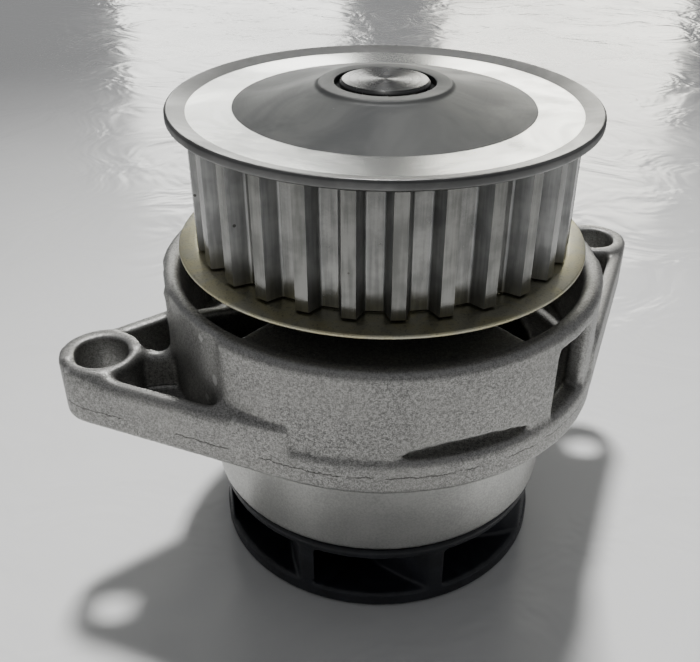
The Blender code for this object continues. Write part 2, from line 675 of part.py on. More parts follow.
def make_shaft():
    c = SHAFT_CHAMFER
    groove = groove_points(BALL_PITCH_R, BALL_Z, BALL_R + RUN_GAP, SHAFT_R, outward=False)
    profile = [(0.0, SHAFT_TOP), (SHAFT_R - c, SHAFT_TOP), (SHAFT_R, SHAFT_TOP - c)]
    profile += groove
    profile += [(SHAFT_R, c), (SHAFT_R - c, 0.0), (0.0, 0.0)]
    return turned("shaft", profile, SHAFT_STEPS, GROUND, closed=False)


def make_outer_ring():
    c = RING_CHAMFER
    track = ROLLER_PITCH_R + ROLLER_R + RUN_GAP
    track_half = ROLLER_LENGTH / 2 + RUN_GAP
    profile = [(BEARING_LAND_R, BEARING_TOP), (BEARING_R - c, BEARING_TOP),
               (BEARING_R, BEARING_TOP - c), (BEARING_R, BEARING_BOTTOM + c),
               (BEARING_R - c, BEARING_BOTTOM), (BEARING_LAND_R, BEARING_BOTTOM),
               (BEARING_LAND_R, ROLLER_Z - track_half), (track, ROLLER_Z - track_half),
               (track, ROLLER_Z + track_half), (BEARING_LAND_R, ROLLER_Z + track_half)]
    race = groove_points(BALL_PITCH_R, BALL_Z, BALL_R + RUN_GAP, BEARING_LAND_R, outward=True)
    profile += list(reversed(race))
    return turned("bearing_outer_ring", profile, RING_STEPS, BEARING_STEEL)


def make_end_seal(name, bottom):
    inner = BORE_ON_SHAFT_R
    outer = BEARING_LAND_R - SEAT_GAP
    top = bottom + END_SEAL_THICKNESS
    profile = [(inner + END_SEAL_LIP, top), (outer, top), (outer, bottom),
               (inner + 2 * END_SEAL_LIP, bottom), (inner, bottom + END_SEAL_LIP)]
    return turned(name, profile, SEAL_STEPS, RUBBER)


def ring_places(count, pitch_r, height, spin=0.0):
    places = []
    for i in range(count):
        x, y = polar(pitch_r, spin + 360.0 * i / count)
        places.append(at(x, y, height))
    return places


def make_ball_set():
    items = []
    for i, place in enumerate(ring_places(BALL_COUNT, BALL_PITCH_R, BALL_Z)):
        build = bmesh.new()
        bmesh.ops.create_uvsphere(build, u_segments=2 * BALL_ROWS, v_segments=BALL_ROWS,
                                  radius=BALL_R * MM, matrix=place)
        mesh = bpy.data.meshes.new(f"ball_{i + 1}")
        build.to_mesh(mesh)
        build.free()
        smooth(mesh)
        items.append(add_object(f"ball_{i + 1}", mesh, PARTS, GROUND))
    half = BALL_R + CAGE_RIM
    cage = make_cage("ball_cage", BALL_Z - CAGE_RIM / 2, half - CAGE_RIM / 2)
    places = ring_places(BALL_COUNT, BALL_PITCH_R, BALL_Z)
    pocket_r = BALL_R + RUN_GAP
    pockets = cylinders("ball_pocket_cutter", pocket_r, 2 * pocket_r, places, ROLLER_SIDES)
    combine(cage, pockets, "DIFFERENCE")
    return [cage] + items


def make_roller_set():
    items = []
    for i, place in enumerate(ring_places(ROLLER_COUNT, ROLLER_PITCH_R, ROLLER_Z)):
        roller = cylinders(f"roller_{i + 1}", ROLLER_R, ROLLER_LENGTH, [place],
                           ROLLER_SIDES, PARTS)
        roller.data.materials.append(GROUND)
        smooth(roller.data)
        items.append(roller)
    half = ROLLER_LENGTH / 2 + CAGE_RIM
    cage = make_cage("roller_cage", ROLLER_Z, half)
    pockets = cylinders("roller_pocket_cutter", ROLLER_R + RUN_GAP, ROLLER_LENGTH + 2 * RUN_GAP,
                        ring_places(ROLLER_COUNT, ROLLER_PITCH_R, ROLLER_Z), ROLLER_SIDES)
    combine(cage, pockets, "DIFFERENCE")
    return [cage] + items


def make_cage(name, height, half):
    profile = [(CAGE_INNER_R, height + half), (CAGE_OUTER_R, height + half),
               (CAGE_OUTER_R, height - half), (CAGE_INNER_R, height - half)]
    return turned(name, profile, RING_STEPS, NYLON)


# ---- shaft seal -----------------------------------------------------------------------------------
def make_seal_cup():
    outer = SEAL_BORE_R - SEAT_GAP
    inner = outer - CUP_WALL
    flange_top = SPIGOT_BOTTOM + SEAL_FLANGE_DEPTH - SEAT_GAP
    flange_low = flange_top - CUP_WALL
    profile = [(CUP_HOLE_R, CUP_TOP), (outer, CUP_TOP), (outer, flange_top),
               (SEAL_FLANGE_R, flange_top), (SEAL_FLANGE_R, flange_low), (inner, flange_low),
               (inner, CUP_CEILING), (CUP_HOLE_R, CUP_CEILING)]
    return turned("seal_cup", profile, SEAL_STEPS, STAINLESS)


def make_carbon():
    shoulder = CARBON_BOTTOM + CARBON_NOSE
    profile = [(CARBON_INNER_R, CARBON_TOP), (CARBON_R, CARBON_TOP), (CARBON_R, shoulder),
               (CARBON_NOSE_R, shoulder), (CARBON_NOSE_R, CARBON_BOTTOM),
               (CARBON_NOSE_INNER_R, CARBON_BOTTOM), (CARBON_NOSE_INNER_R, shoulder),
               (CARBON_INNER_R, shoulder)]
    return turned("seal_carbon_ring", profile, SEAL_STEPS, CARBON)


def make_carrier():
    """Pressed ring round the carbon that the spring pushes on."""
    inner = CARBON_R + SEAT_GAP
    low = CARBON_TOP - CARRIER_THICKNESS * 2
    profile = [(inner, low + CARRIER_THICKNESS), (CARRIER_R, low + CARRIER_THICKNESS),
               (CARRIER_R, low), (inner, low)]
    return turned("seal_spring_carrier", profile, SEAL_STEPS, STAINLESS)


def make_bellows():
    """Folded rubber sleeve between the carbon ring and the cup's ceiling."""
    bottom = CARBON_TOP + SEAT_GAP
    top = CUP_CEILING - SEAT_GAP
    fold = (top - bottom) / BELLOWS_FOLDS
    outside, inside = [], []
    for i in range(BELLOWS_FOLDS):
        high = top - fold * i
        outside += [(BELLOWS_R, high), (BELLOWS_INNER_R + BELLOWS_WALL, high - fold / 2)]
        inside += [(BELLOWS_R - BELLOWS_WALL, high), (BELLOWS_INNER_R, high - fold / 2)]
    outside.append((BELLOWS_R, bottom))
    inside.append((BELLOWS_R - BELLOWS_WALL, bottom))
    return turned("seal_bellows", outside + list(reversed(inside)), SEAL_STEPS, RUBBER)


def make_spring():
    bottom = CARBON_TOP - CARRIER_THICKNESS + SEAT_GAP + SPRING_WIRE_R
    top = CUP_CEILING - SEAT_GAP - SPRING_WIRE_R
    curve = bpy.data.curves.new("seal_spring_path", "CURVE")
    curve.dimensions = "3D"
    curve.bevel_depth = SPRING_WIRE_R * MM
    curve.bevel_resolution = 2
    curve.use_fill_caps = True
    path = curve.splines.new("POLY")
    count = round(SPRING_TURNS * SPRING_SIDES)
    path.points.add(count)
    for i in range(count + 1):
        x, y = polar(SPRING_R, 360.0 * i / SPRING_SIDES)
        z = bottom + (top - bottom) * i / count
        path.points[i].co = (x * MM, y * MM, z * MM, 1.0)
    spring = bpy.data.objects.new("seal_spring", curve)
    curve.materials.append(STAINLESS)
    PARTS.objects.link(spring)
    return spring


def make_seat():
    profile = [(SEAT_INNER_R, SEAT_TOP), (SEAT_R, SEAT_TOP), (SEAT_R, SEAT_BOTTOM),
               (SEAT_INNER_R, SEAT_BOTTOM)]
    return turned("seal_seat_ring", profile, SEAL_STEPS, CERAMIC)


def make_seat_cup():
    """Rubber collar that grips the shaft and carries the seat ring."""
    outer_wall = SEAT_INNER_R - SEAT_GAP
    profile = [(BORE_ON_SHAFT_R, SEAT_TOP - SEAT_GAP), (outer_wall, SEAT_TOP - SEAT_GAP),
               (outer_wall, SEAT_BOTTOM - SEAT_GAP), (SEAT_R, SEAT_BOTTOM - SEAT_GAP),
               (SEAT_R, HUB_TOP_Z + SEAT_GAP), (BORE_ON_SHAFT_R, HUB_TOP_Z + SEAT_GAP)]
    return turned("seal_seat_collar", profile, SEAL_STEPS, RUBBER)


# ---- impeller ----------------------------------------------------------------------------------------
def back_shroud_profile():
    """Hub and back shroud, with a recess on top for the seal seat's collar."""
    recess = SEAT_R + SEAT_GAP
    bore = INSERT_R + SEAT_GAP
    collar = INSERT_COLLAR_R + SEAT_GAP
    collar_low = HUB_TOP_Z - INSERT_SINK - SEAT_GAP - INSERT_COLLAR - SEAT_GAP
    under = IMPELLER_TOP - BACK_SHROUD
    return [
        (collar, HUB_TOP_Z), (recess, HUB_TOP_Z), (recess, IMPELLER_TOP),
        (IMPELLER_R - SHROUD_CHAMFER, IMPELLER_TOP), (IMPELLER_R, IMPELLER_TOP - SHROUD_CHAMFER),
        (IMPELLER_R, under), (recess + HUB_FILLET, under), (recess, under - HUB_FILLET),
        (IMPELLER_HUB_R, HUB_LIFT), (bore, HUB_LIFT), (bore, collar_low), (collar, collar_low),
    ]


def front_shroud_profile():
    return [(EYE_R, FRONT_SHROUD), (IMPELLER_R, FRONT_SHROUD), (IMPELLER_R, SHROUD_CHAMFER),
            (IMPELLER_R - SHROUD_CHAMFER, 0.0), (EYE_R + EYE_CHAMFER, 0.0), (EYE_R, EYE_CHAMFER)]


def blade_outlines():
    outlines = []
    tip_r = IMPELLER_R - BLADE_TIP_INSET
    for n in range(BLADES):
        tip = BLADE_TIP_ANGLE + 360.0 * n / BLADES
        lead, trail = [], []
        for i in range(BLADE_ROWS + 1):
            t = i / BLADE_ROWS
            r = BLADE_INNER_R + (tip_r - BLADE_INNER_R) * t
            left = 1.0 - t
            angle = tip - BLADE_SWEEP * left ** BLADE_CURVE
            steep = BLADE_CURVE * max(left, BLADE_SLOPE_FLOOR) ** (BLADE_CURVE - 1.0)
            slope = math.radians(BLADE_SWEEP) * steep
            along = slope * r / (tip_r - BLADE_INNER_R)
            width = BLADE_THICKNESS * math.sqrt(1.0 + along * along)
            half = math.degrees(width / r) / 2
            lead.append(polar(r, angle - half))
            trail.append(polar(r, angle + half))
        outlines.append(lead + list(reversed(trail)))
    return outlines


def make_impeller():
    impeller = turned("impeller", back_shroud_profile(), IMPELLER_STEPS, PLASTIC)
    blades = prisms("impeller_blades", blade_outlines(), FRONT_SHROUD - EMBED,
                    IMPELLER_TOP - BACK_SHROUD + EMBED)
    combine(impeller, blades, "UNION")
    ring = turned("impeller_front_shroud", front_shroud_profile(), IMPELLER_STEPS, None, CUTTERS)
    combine(impeller, ring, "UNION")
    return impeller


def make_insert():
    """Metal bush moulded into the impeller and pressed on the shaft."""
    top = HUB_TOP_Z - INSERT_SINK
    collar_low = top - INSERT_COLLAR
    bottom = HUB_LIFT + SEAT_GAP
    profile = [(BORE_ON_SHAFT_R, top), (INSERT_COLLAR_R, top), (INSERT_COLLAR_R, collar_low),
               (INSERT_R, collar_low), (INSERT_R, bottom), (BORE_ON_SHAFT_R, bottom)]
    return turned("impeller_insert", profile, SHAFT_STEPS, BRASS)


# ---- assembly -----------------------------------------------------------------------------------------
def build_pump():
    make_housing()
    make_outer_ring()
    make_end_seal("bearing_seal_upper", BEARING_TOP - END_SEAL_INSET - END_SEAL_THICKNESS)
    make_end_seal("bearing_seal_lower", BEARING_BOTTOM + END_SEAL_INSET)
    make_seal_cup()
    rotor = empty_on_axis("rotor_joint", BEARING_BOTTOM)
    carry(rotor, [make_shaft(), make_pulley(), make_lower_disc(), make_seat(), make_seat_cup(),
                  make_insert(), make_impeller()])
    carry(empty_on_axis("ball_cage_joint", BALL_Z), make_ball_set())
    carry(empty_on_axis("roller_cage_joint", ROLLER_Z), make_roller_set())
    carry(empty_on_axis("seal_face_joint", CARBON_TOP),
          [make_carbon(), make_carrier(), make_bellows(), make_spring()])


build_pump()
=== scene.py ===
import math

import bmesh
import bpy
import numpy as np
from mathutils import Matrix, Vector


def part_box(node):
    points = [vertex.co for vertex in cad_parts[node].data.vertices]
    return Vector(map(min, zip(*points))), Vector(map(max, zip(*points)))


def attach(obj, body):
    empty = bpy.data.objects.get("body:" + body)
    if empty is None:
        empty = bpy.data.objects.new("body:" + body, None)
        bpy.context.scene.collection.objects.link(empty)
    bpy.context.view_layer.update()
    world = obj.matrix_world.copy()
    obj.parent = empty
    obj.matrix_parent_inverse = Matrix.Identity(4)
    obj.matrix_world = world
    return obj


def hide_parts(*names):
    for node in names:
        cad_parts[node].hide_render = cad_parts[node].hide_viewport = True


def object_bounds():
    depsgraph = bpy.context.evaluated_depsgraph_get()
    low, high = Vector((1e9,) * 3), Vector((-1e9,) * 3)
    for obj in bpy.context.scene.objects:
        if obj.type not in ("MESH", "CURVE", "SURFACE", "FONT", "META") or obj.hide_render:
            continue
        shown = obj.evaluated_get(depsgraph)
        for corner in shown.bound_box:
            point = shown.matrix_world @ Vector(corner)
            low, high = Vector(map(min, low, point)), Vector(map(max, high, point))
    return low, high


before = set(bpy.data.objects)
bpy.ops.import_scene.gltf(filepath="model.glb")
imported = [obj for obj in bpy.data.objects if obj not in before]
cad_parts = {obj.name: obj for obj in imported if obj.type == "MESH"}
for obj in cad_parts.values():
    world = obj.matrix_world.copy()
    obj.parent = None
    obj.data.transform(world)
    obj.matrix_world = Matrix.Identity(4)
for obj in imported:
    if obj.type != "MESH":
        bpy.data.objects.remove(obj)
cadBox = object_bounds()
mm = 0.001                       # lengths below are in millimetres unless a note says otherwise
pumpCollection = bpy.data.collections.new("pumpLooks")
bpy.context.scene.collection.children.link(pumpCollection)


def boxOf(nodeName):
    low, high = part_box(nodeName)
    return Vector(low) / mm, Vector(high) / mm


def polar(radius, degrees):
    angle = math.radians(degrees)
    return radius * math.cos(angle), radius * math.sin(angle)


# shader helpers

def addNode(tree, kind, inputs=None, **settings):
    made = tree.nodes.new(kind)
    for key, value in settings.items():
        setattr(made, key, value)
    for key, value in (inputs or {}).items():
        if isinstance(value, bpy.types.NodeSocket):
            tree.links.new(value, made.inputs[key])
        else:
            made.inputs[key].default_value = value
    return made


def mathNode(tree, operation, *values):
    return addNode(tree, "ShaderNodeMath", dict(enumerate(values)), operation=operation).outputs[0]


# the mean of two noises, the first with the given share
def mixedNoise(tree, first, second, share):
    return mathNode(tree, "ADD", mathNode(tree, "MULTIPLY", first, share),
                    mathNode(tree, "MULTIPLY", second, 1.0 - share))


def spread(tree, value, fromLow, fromHigh, toLow, toHigh, curve="SMOOTHSTEP"):
    made = addNode(tree, "ShaderNodeMapRange",
                   {"Value": value, "From Min": fromLow, "From Max": fromHigh,
                    "To Min": toLow, "To Max": toHigh}, interpolation_type=curve)
    return made.outputs["Result"]


def blendColour(tree, share, first, second):
    made = addNode(tree, "ShaderNodeMix", data_type="RGBA")
    for socket, value in ((made.inputs[0], share), (made.inputs[6], first), (made.inputs[7], second)):
        if isinstance(value, bpy.types.NodeSocket):
            tree.links.new(value, socket)
        elif isinstance(value, tuple):
            socket.default_value = (*value, 1.0)
        else:
            socket.default_value = value
    return made.outputs[2]


def speckle(tree, where, perMetre, detail=2.0, roughness=0.5, warp=0.0):
    made = addNode(tree, "ShaderNodeTexNoise",
                   {"Vector": where, "Scale": perMetre, "Detail": detail,
                    "Roughness": roughness, "Distortion": warp})
    return made.outputs["Fac"]


def startFinish(name, roughness, metallic, **sockets):
    material = bpy.data.materials.new(name)
    material.use_nodes = True
    tree = material.node_tree
    shader = tree.nodes["Principled BSDF"]
    shader.inputs["Roughness"].default_value = roughness
    shader.inputs["Metallic"].default_value = metallic
    for key, value in sockets.items():
        shader.inputs[key.replace("_", " ")].default_value = value
    where = addNode(tree, "ShaderNodeTexCoord").outputs["Object"]
    return material, tree, shader, where


def radiusAndHeight(tree, where):
    parts = addNode(tree, "ShaderNodeSeparateXYZ", {0: where})
    flat = addNode(tree, "ShaderNodeCombineXYZ", {0: parts.outputs[0], 1: parts.outputs[1]})
    length = addNode(tree, "ShaderNodeVectorMath", {0: flat.outputs[0]}, operation="LENGTH")
    return length.outputs["Value"], parts.outputs[2], parts


def turningRings(tree, where, perMetre):
    radius, height, _ = radiusAndHeight(tree, where)
    line = addNode(tree, "ShaderNodeCombineXYZ", {0: radius, 1: height}).outputs[0]
    return speckle(tree, line, perMetre, 3.0, 0.65)


def setBump(tree, shader, height, depth, strength=1.0, before=None):
    inputs = {"Height": height, "Distance": depth, "Strength": strength}
    if before is not None:
        inputs["Normal"] = before
    bump = addNode(tree, "ShaderNodeBump", inputs).outputs[0]
    tree.links.new(bump, shader.inputs["Normal"])
    return bump


# lets the glow of a turned face follow its rings
def turnTangent(tree, shader):
    tangent = addNode(tree, "ShaderNodeTangent", direction_type="RADIAL", axis="Z").outputs[0]
    tree.links.new(tangent, shader.inputs["Tangent"])


# finishes, some of them with painted light and shade: colours are linear, depths of the surface's grain
# are in metres

# the edge colour is a painted highlight on convex edges, and the crease colour is painted shade in concave
# creases
castLook = {"dark": (0.19, 0.19, 0.184), "light": (0.44, 0.437, 0.421), "edge": (0.62, 0.62, 0.605),
            "stain": (0.40, 0.395, 0.375), "hollow": (0.10, 0.10, 0.095), "stainsPerMetre": 70.0,
            "grainPerMetre": 4600.0, "grainDepth": 0.00007, "sandShare": 0.38}
partingLook = {"height": 41.6, "width": 0.16, "wander": 0.7, "fromRadius": 41.8,
               "toRadius": 42.4, "colour": (0.07, 0.07, 0.065), "strength": 0.6, "depth": 0.00015}


# the mould's parting line: a thin, broken flash round the flange
def partingFlash(tree, where):
    look = partingLook
    radius, height, parts = radiusAndHeight(tree, where)
    turn = mathNode(tree, "ARCTAN2", parts.outputs[1], parts.outputs[0])
    along = addNode(tree, "ShaderNodeCombineXYZ", {0: turn}).outputs[0]
    wander = spread(tree, speckle(tree, along, 14.0, 4.0, 0.75), 0.2, 0.8, -look["wander"],
                    look["wander"], "LINEAR")
    away = mathNode(tree, "SUBTRACT", mathNode(tree, "MULTIPLY", height, 1.0 / mm),
                    mathNode(tree, "ADD", wander, look["height"]))
    near = spread(tree, mathNode(tree, "ABSOLUTE", away), look["width"] * 0.4, look["width"], 1.0, 0.0)
    broken = spread(tree, speckle(tree, along, 5.0, 2.0, 0.6), 0.44, 0.5, 0.0, 1.0)
    outside = spread(tree, radius, look["fromRadius"] * mm, look["toRadius"] * mm, 0.0, 1.0)
    return mathNode(tree, "MULTIPLY", mathNode(tree, "MULTIPLY", near, broken), outside)


def castAluminium():
    look = castLook
    material, tree, shader, where = startFinish("castAluminium", 0.5, 0.95)
    grain = speckle(tree, where, look["grainPerMetre"], 2.0, 0.6)
    sand = speckle(tree, where, look["grainPerMetre"] * look["sandShare"], 3.0, 0.6)
    cloud = speckle(tree, where, look["stainsPerMetre"], 3.0, 0.55)
    both = mixedNoise(tree, grain, sand, 0.6)
    colour = blendColour(tree, spread(tree, both, 0.36, 0.66, 0.0, 1.0), look["dark"], look["light"])
    colour = blendColour(tree, spread(tree, cloud, 0.35, 0.7, 0.0, 0.35), colour, look["stain"])
    # convex edges, found by pointiness, get a painted highlight: a lighter colour along every edge
    edge = addNode(tree, "ShaderNodeNewGeometry").outputs["Pointiness"]
    colour = blendColour(tree, spread(tree, edge, 0.505, 0.56, 0.0, 0.75), colour, look["edge"])
    # concave creases get painted shade: a darker colour where pointiness is low
    colour = blendColour(tree, spread(tree, edge, 0.47, 0.42, 0.0, 0.55), colour, look["hollow"])
    flash = partingFlash(tree, where)
    shown = mathNode(tree, "MULTIPLY", flash, partingLook["strength"])
    colour = blendColour(tree, shown, colour, partingLook["colour"])
    tree.links.new(colour, shader.inputs["Base Color"])
    tree.links.new(spread(tree, both, 0.35, 0.65, 0.58, 0.38), shader.inputs["Roughness"])
    first = setBump(tree, shader, both, look["grainDepth"], 0.9)
    setBump(tree, shader, flash, partingLook["depth"], 0.8, first)
    return material


machinedLook = {"dark": (0.35, 0.35, 0.338), "light": (0.47, 0.47, 0.452), "ringsPerMetre": 5200.0}


def machinedAluminium():
    look = machinedLook
    material, tree, shader, where = startFinish("machinedAluminium", 0.42, 0.95)
    rings = turningRings(tree, where, look["ringsPerMetre"])
    grain = speckle(tree, where, 2600.0, 2.0)
    cloud = speckle(tree, where, 90.0, 3.0)
    mixed = mixedNoise(tree, grain, cloud, 0.5)
    colour = blendColour(tree, spread(tree, mixed, 0.35, 0.65, 0.0, 1.0), look["dark"], look["light"])
    tree.links.new(colour, shader.inputs["Base Color"])
    tree.links.new(spread(tree, grain, 0.3, 0.7, 0.46, 0.34), shader.inputs["Roughness"])
    first = setBump(tree, shader, rings, 0.00001, 0.5)
    setBump(tree, shader, grain, 0.00002, 0.6, first)
    return material


# small dark marks, scattered and of uneven size
def specks(tree, where, perMetre, size, strength):
    dots = addNode(tree, "ShaderNodeTexVoronoi", {"Vector": where, "Scale": perMetre}).outputs["Distance"]
    uneven = spread(tree, speckle(tree, where, perMetre * 0.6, 1.0), 0.5, 0.7, 0.0, size)
    close = mathNode(tree, "LESS_THAN", dots, uneven)
    return mathNode(tree, "MULTIPLY", close, strength)


# rim and dome are copies of the turned face painted darker, as painted shade: the rim darker, the dome
# darkest
faceLook = {"dark": (0.30, 0.306, 0.30), "light": (0.54, 0.547, 0.53), "metallic": 1.0,
            "ringsPerMetre": 3200.0, "rough": 0.14, "roughest": 0.22}
faceSpeck = (0.12, 0.12, 0.115)
rimLook = {"dark": (0.13, 0.131, 0.13), "light": (0.22, 0.221, 0.218), "metallic": 1.0,
           "ringsPerMetre": 3200.0, "rough": 0.30, "roughest": 0.38}
domeLook = {"dark": (0.032, 0.034, 0.035), "light": (0.058, 0.060, 0.059), "metallic": 0.45,
            "ringsPerMetre": 2600.0, "rough": 0.42, "roughest": 0.52}


def turnedFace(name, look):
    material, tree, shader, where = startFinish(name, look["rough"], look["metallic"],
                                                Anisotropic=0.12)
    rings = turningRings(tree, where, look["ringsPerMetre"])
    cloud = speckle(tree, where, 55.0, 4.0, 0.6, 0.8)
    grain = speckle(tree, where, 3000.0, 2.0)
    colour = blendColour(tree, spread(tree, cloud, 0.35, 0.65, 0.0, 1.0), look["dark"], look["light"])
    colour = blendColour(tree, specks(tree, where, 380.0, 0.07, 0.6), colour, faceSpeck)
    tree.links.new(colour, shader.inputs["Base Color"])
    base = spread(tree, cloud, 0.3, 0.7, look["roughest"], look["rough"])
    tree.links.new(mathNode(tree, "ADD", base, mathNode(tree, "MULTIPLY", rings, 0.06)),
                   shader.inputs["Roughness"])
    first = setBump(tree, shader, rings, 0.000006, 0.5)
    setBump(tree, shader, grain, 0.000008, 0.5, first)
    turnTangent(tree, shader)
    return material


# crowns, flanks and root lands are one steel in three copies, each painted with its own light and shade:
# flanks painted lightest, crowns darkest
toothLook = {"dark": (0.15, 0.151, 0.144), "light": (0.24, 0.24, 0.229), "nick": (0.09, 0.085, 0.08),
             "rough": 0.15, "roughest": 0.24}
flankLook = {"dark": (0.28, 0.282, 0.28), "light": (0.42, 0.422, 0.415), "nick": (0.05, 0.048, 0.045),
             "rough": 0.34, "roughest": 0.44}
rootLook = {"dark": (0.21, 0.211, 0.204), "light": (0.33, 0.33, 0.318), "nick": (0.09, 0.085, 0.08),
            "rough": 0.18, "roughest": 0.28}


def toothSteel(name, look):
    material, tree, shader, where = startFinish(name, 0.32, 1.0)
    grain = speckle(tree, where, 1900.0, 2.0, 0.6)
    cloud = speckle(tree, where, 160.0, 3.0, 0.6)
    tall = addNode(tree, "ShaderNodeMapping", {"Vector": where, "Scale": (1.0, 1.0, 0.06)}).outputs[0]
    streaks = speckle(tree, tall, 1500.0, 2.0, 0.6)
    mixed = mixedNoise(tree, streaks, cloud, 0.4)
    colour = blendColour(tree, spread(tree, mixed, 0.38, 0.62, 0.0, 1.0), look["dark"], look["light"])
    colour = blendColour(tree, specks(tree, where, 320.0, 0.11, 0.8), colour, look["nick"])
    tree.links.new(colour, shader.inputs["Base Color"])
    rough = spread(tree, cloud, 0.3, 0.7, look["roughest"], look["rough"])
    tree.links.new(rough, shader.inputs["Roughness"])
    first = setBump(tree, shader, grain, 0.00002, 0.5)
    setBump(tree, shader, streaks, 0.000015, 0.5, first)
    return material


zincLook = {"yellow": (0.66, 0.62, 0.40), "grey": (0.58, 0.565, 0.45), "rose": (0.61, 0.55, 0.40),
            "pit": (0.18, 0.17, 0.12)}


def yellowZinc():
    look = zincLook
    material, tree, shader, where = startFinish("yellowZinc", 0.36, 1.0)
    cloud = speckle(tree, where, 120.0, 4.0, 0.6, 1.2)
    other = speckle(tree, where, 60.0, 3.0, 0.6)
    grain = speckle(tree, where, 2400.0, 2.0, 0.6)
    colour = blendColour(tree, spread(tree, cloud, 0.35, 0.65, 0.0, 1.0), look["grey"], look["yellow"])
    colour = blendColour(tree, spread(tree, other, 0.5, 0.75, 0.0, 0.7), colour, look["rose"])
    colour = blendColour(tree, spread(tree, grain, 0.5, 0.75, 0.0, 0.45), colour, look["pit"])
    tree.links.new(colour, shader.inputs["Base Color"])
    tree.links.new(spread(tree, grain, 0.3, 0.7, 0.44, 0.3), shader.inputs["Roughness"])
    setBump(tree, shader, grain, 0.00004, 0.7)
    return material


endLook = {"dark": (0.055, 0.056, 0.056), "light": (0.13, 0.131, 0.13), "ringsPerMetre": 4200.0,
           "anisotropy": 0.8, "quarterTurn": 0.25}


def groundSteel():
    look = endLook
    material, tree, shader, where = startFinish("groundSteel", 0.24, 1.0, Anisotropic=look["anisotropy"],
                                                Anisotropic_Rotation=look["quarterTurn"])
    rings = turningRings(tree, where, look["ringsPerMetre"])
    cloud = speckle(tree, where, 240.0, 3.0)
    colour = blendColour(tree, spread(tree, rings, 0.35, 0.65, 0.0, 1.0), look["dark"], look["light"])
    tree.links.new(colour, shader.inputs["Base Color"])
    tree.links.new(spread(tree, cloud, 0.3, 0.7, 0.30, 0.24), shader.inputs["Roughness"])
    setBump(tree, shader, rings, 0.00001, 0.5)
    turnTangent(tree, shader)
    return material


plasticLook = {"dark": (0.006, 0.007, 0.010), "light": (0.016, 0.018, 0.024)}


def blackPlastic():
    look = plasticLook
    material, tree, shader, where = startFinish("blackPlastic", 0.42, 0.0)
    flow = speckle(tree, where, 90.0, 3.0, 0.6, 1.5)
    grain = speckle(tree, where, 2200.0, 2.0, 0.6)
    colour = blendColour(tree, spread(tree, flow, 0.35, 0.7, 0.0, 1.0), look["dark"], look["light"])
    tree.links.new(colour, shader.inputs["Base Color"])
    tree.links.new(spread(tree, grain, 0.3, 0.7, 0.5, 0.34), shader.inputs["Roughness"])
    setBump(tree, shader, grain, 0.00003, 0.6)
    return material


# finishes of the pieces inside: two colours, grain per metre, its depth, lowest and highest
# roughness, and whether it is a metal
innerLooks = {
    "bearingSteel": ((0.42, 0.43, 0.45), (0.56, 0.57, 0.59), 3400.0, 0.000012, 0.18, 0.30, 1.0),
    "stainless": ((0.44, 0.44, 0.43), (0.60, 0.60, 0.59), 2600.0, 0.000015, 0.22, 0.36, 1.0),
    "brass": ((0.50, 0.35, 0.14), (0.68, 0.50, 0.22), 2600.0, 0.000015, 0.25, 0.42, 1.0),
    "sealRubber": ((0.010, 0.010, 0.010), (0.028, 0.028, 0.027), 2400.0, 0.00004, 0.55, 0.75, 0.0),
    "cageNylon": ((0.50, 0.43, 0.27), (0.66, 0.59, 0.42), 1800.0, 0.00003, 0.38, 0.55, 0.0),
    "sealCarbon": ((0.020, 0.020, 0.022), (0.050, 0.050, 0.054), 3200.0, 0.00002, 0.28, 0.45, 0.0),
    "seatCeramic": ((0.74, 0.71, 0.64), (0.86, 0.84, 0.78), 2800.0, 0.000012, 0.18, 0.32, 0.0),
}


def innerFinish(name):
    dark, light, perMetre, depth, low, high, metallic = innerLooks[name]
    material, tree, shader, where = startFinish(name, (low + high) / 2, metallic)
    cloud = speckle(tree, where, 180.0, 3.0, 0.6)
    grain = speckle(tree, where, perMetre, 2.0, 0.6)
    rings = turningRings(tree, where, perMetre)
    colour = blendColour(tree, spread(tree, cloud, 0.35, 0.65, 0.0, 1.0), dark, light)
    tree.links.new(colour, shader.inputs["Base Color"])
    tree.links.new(spread(tree, grain, 0.3, 0.7, high, low), shader.inputs["Roughness"])
    first = setBump(tree, shader, grain, depth, 0.7)
    setBump(tree, shader, rings, depth, 0.4, first)
    return material


# mesh helpers

def addPiece(name, mesh, material, body, replaced):
    piece = bpy.data.objects.new(name, mesh)
    pumpCollection.objects.link(piece)
    for one in material if isinstance(material, list) else [material]:
        mesh.materials.append(one)
    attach(piece, body)
    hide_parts(*replaced)
    return piece


# corners are (x, y, rounding radius); each radius is limited by the sides it sits between
def roundedPath(corners, pieces=4):
    points = []
    for i, (x, y, radius) in enumerate(corners):
        here = Vector((x, y))
        if radius <= 0.0:
            points.append((x, y))
            continue
        before = Vector(corners[i - 1][:2]) - here
        after = Vector(corners[(i + 1) % len(corners)][:2]) - here
        half = before.angle(after) / 2
        away = radius / math.tan(half)
        away = min(away, before.length * 0.49, after.length * 0.49)
        radius = away * math.tan(half)
        start = here + before.normalized() * away
        end = here + after.normalized() * away
        middle = here + (before.normalized() + after.normalized()).normalized() * (radius / math.sin(half))
        first = math.atan2(start.y - middle.y, start.x - middle.x)
        swing = math.atan2(end.y - middle.y, end.x - middle.x) - first
        swing = (swing + math.pi) % math.tau - math.pi
        for k in range(pieces + 1):
            angle = first + swing * k / pieces
            points.append((middle.x + radius * math.cos(angle), middle.y + radius * math.sin(angle)))
    return points


